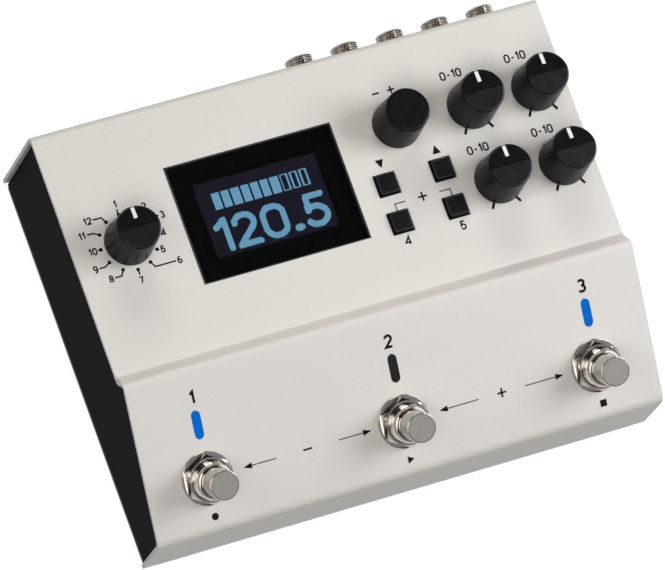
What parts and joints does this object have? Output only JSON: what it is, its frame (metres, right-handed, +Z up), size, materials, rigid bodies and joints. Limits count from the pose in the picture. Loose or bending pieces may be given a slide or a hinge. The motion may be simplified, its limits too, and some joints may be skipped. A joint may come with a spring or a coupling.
{
  "type": "digital delay pedal",
  "caption": "Floor effects pedal in a wrapped metal case: display, rotary knobs and keys on a level panel, footswitches and lamps on a sloped one, sockets at the rear.",
  "frame": {"origin": "under the middle of the overall box, on the surface that the feet stand on", "axes": "+X to the player's right, +Y away from the player towards the sockets, +Z up"},
  "size_m": [0.17, 0.1378, 0.0629],
  "materials": {
    "pearl_paint": "satin pearl white paint on steel sheet",
    "black_paint": "matt black paint on steel sheet",
    "side_plastic": "fine-grained black moulding",
    "knob_plastic": "glossy black moulding",
    "button_plastic": "satin black moulding",
    "black_plastic": "plain black moulding",
    "smoked_window": "smoked clear plate",
    "screen": "dark display glass",
    "nickel": "polished nickel plate",
    "brushed_nickel": "brushed nickel plate",
    "zinc_steel": "zinc plated steel",
    "spring_steel": "bright spring wire",
    "contact_metal": "bright contact metal",
    "foot_rubber": "black rubber",
    "circuit_board": "green laminate",
    "chip_resin": "black epoxy",
    "lamp_lit": "blue diffuser, lit",
    "lamp_dark": "dark diffuser",
    "ribbon": "grey ribbon"
  },
  "bodies": {
    "case": {"top_cover": "pearl_paint", "left_side_panel": "side_plastic", "right_side_panel": "side_plastic", "bottom_plate": "black_paint", "bottom_screws": "zinc_steel", "rubber_feet": "foot_rubber", "battery_box": "black_plastic", "battery_contacts": "contact_metal", "display_window": "smoked_window", "display_module": "screen", "potentiometer_bodies": "zinc_steel", "value_encoder_body": "zinc_steel", "mode_switch_body": "black_plastic", "tact_switches": "black_plastic", "footswitch_bushings": "nickel", "footswitch_nuts": "nickel", "footswitch_washers": "nickel", "footswitch_bodies": "black_plastic", "lit_lamp_lenses": "lamp_lit", "unlit_lamp_lens": "lamp_dark", "lamp_board": "circuit_board", "control_board": "circuit_board", "main_board": "circuit_board", "main_board_parts": "chip_resin", "jack_board": "circuit_board", "board_spacers": "zinc_steel", "ribbon_cables": "ribbon", "jack_bushings": "nickel", "jack_bodies": "black_plastic", "jack_washers": "nickel", "jack_nuts": "nickel", "round_sockets": "black_plastic", "round_socket_cores": "black_plastic", "data_socket": "zinc_steel", "power_inlet": "black_plastic", "power_switch_body": "black_plastic", "left_footswitch_spring": "spring_steel", "centre_footswitch_spring": "spring_steel", "right_footswitch_spring": "spring_steel"},
    "battery_cover": {"battery_cover": "black_plastic"},
    "power_button": {"power_button": "button_plastic"},
    "mode_control": {"mode_knob": "knob_plastic", "mode_shaft": "zinc_steel"},
    "value_control": {"value_knob": "knob_plastic", "value_shaft": "zinc_steel"},
    "feedback_control": {"feedback_knob": "knob_plastic", "feedback_shaft": "zinc_steel"},
    "level_control": {"level_knob": "knob_plastic", "level_shaft": "zinc_steel"},
    "tone_control": {"tone_knob": "knob_plastic", "tone_shaft": "zinc_steel"},
    "depth_control": {"depth_knob": "knob_plastic", "depth_shaft": "zinc_steel"},
    "down_key": {"down_button": "button_plastic"},
    "up_key": {"up_button": "button_plastic"},
    "exit_key": {"exit_button": "button_plastic"},
    "edit_key": {"edit_button": "button_plastic"},
    "left_footswitch": {"left_footswitch_plunger": "brushed_nickel"},
    "centre_footswitch": {"centre_footswitch_plunger": "brushed_nickel"},
    "right_footswitch": {"right_footswitch_plunger": "brushed_nickel"}
  },
  "joints": [
    {"name": "mode_turn", "type": "hinge", "parent": "case", "child": "mode_control", "pos_m": [-0.0667, 0.02115, 0.04723], "axis": [0, 0.0093, -1], "continuous": true},
    {"name": "value_turn", "type": "hinge", "parent": "case", "child": "value_control", "pos_m": [0.02735, 0.03395, 0.04735], "axis": [0, 0.0093, -1], "continuous": true},
    {"name": "feedback_turn", "type": "hinge", "parent": "case", "child": "feedback_control", "pos_m": [0.0525, 0.03345, 0.04734], "axis": [0, 0.0093, -1], "range_deg": [-150, 150]},
    {"name": "level_turn", "type": "hinge", "parent": "case", "child": "level_control", "pos_m": [0.0744, 0.03345, 0.04734], "axis": [0, 0.0093, -1], "range_deg": [-150, 150]},
    {"name": "tone_turn", "type": "hinge", "parent": "case", "child": "tone_control", "pos_m": [0.0525, 0.00845, 0.04711], "axis": [0, 0.0093, -1], "range_deg": [-150, 150]},
    {"name": "depth_turn", "type": "hinge", "parent": "case", "child": "depth_control", "pos_m": [0.0744, 0.00845, 0.04711], "axis": [0, 0.0093, -1], "range_deg": [-150, 150]},
    {"name": "down_press", "type": "slide", "parent": "case", "child": "down_key", "axis": [0, 0.0093, -1], "range_m": [0, 0.0004], "stiffness_N_per_m": 500, "springref_m": -0.0006},
    {"name": "up_press", "type": "slide", "parent": "case", "child": "up_key", "axis": [0, 0.0093, -1], "range_m": [0, 0.0004], "stiffness_N_per_m": 500, "springref_m": -0.0006},
    {"name": "exit_press", "type": "slide", "parent": "case", "child": "exit_key", "axis": [0, 0.0093, -1], "range_m": [0, 0.0004], "stiffness_N_per_m": 500, "springref_m": -0.0006},
    {"name": "edit_press", "type": "slide", "parent": "case", "child": "edit_key", "axis": [0, 0.0093, -1], "range_m": [0, 0.0004], "stiffness_N_per_m": 500, "springref_m": -0.0006},
    {"name": "left_stomp", "type": "slide", "parent": "case", "child": "left_footswitch", "axis": [0, 0.4301, -0.9028], "range_m": [0, 0.003], "stiffness_N_per_m": 1500, "springref_m": -0.004, "deforming": ["left_footswitch_spring"]},
    {"name": "centre_stomp", "type": "slide", "parent": "case", "child": "centre_footswitch", "axis": [0, 0.4301, -0.9028], "range_m": [0, 0.003], "stiffness_N_per_m": 1500, "springref_m": -0.004, "deforming": ["centre_footswitch_spring"]},
    {"name": "right_stomp", "type": "slide", "parent": "case", "child": "right_footswitch", "axis": [0, 0.4301, -0.9028], "range_m": [0, 0.003], "stiffness_N_per_m": 1500, "springref_m": -0.004, "deforming": ["right_footswitch_spring"]},
    {"name": "battery_cover_lift", "type": "slide", "parent": "case", "child": "battery_cover", "axis": [0, 0, -1], "range_m": [0, 0.012]},
    {"name": "power_press", "type": "slide", "parent": "case", "child": "power_button", "axis": [0, -1, 0], "range_m": [0, 0.002], "stiffness_N_per_m": 300, "springref_m": -0.002}
  ]
}
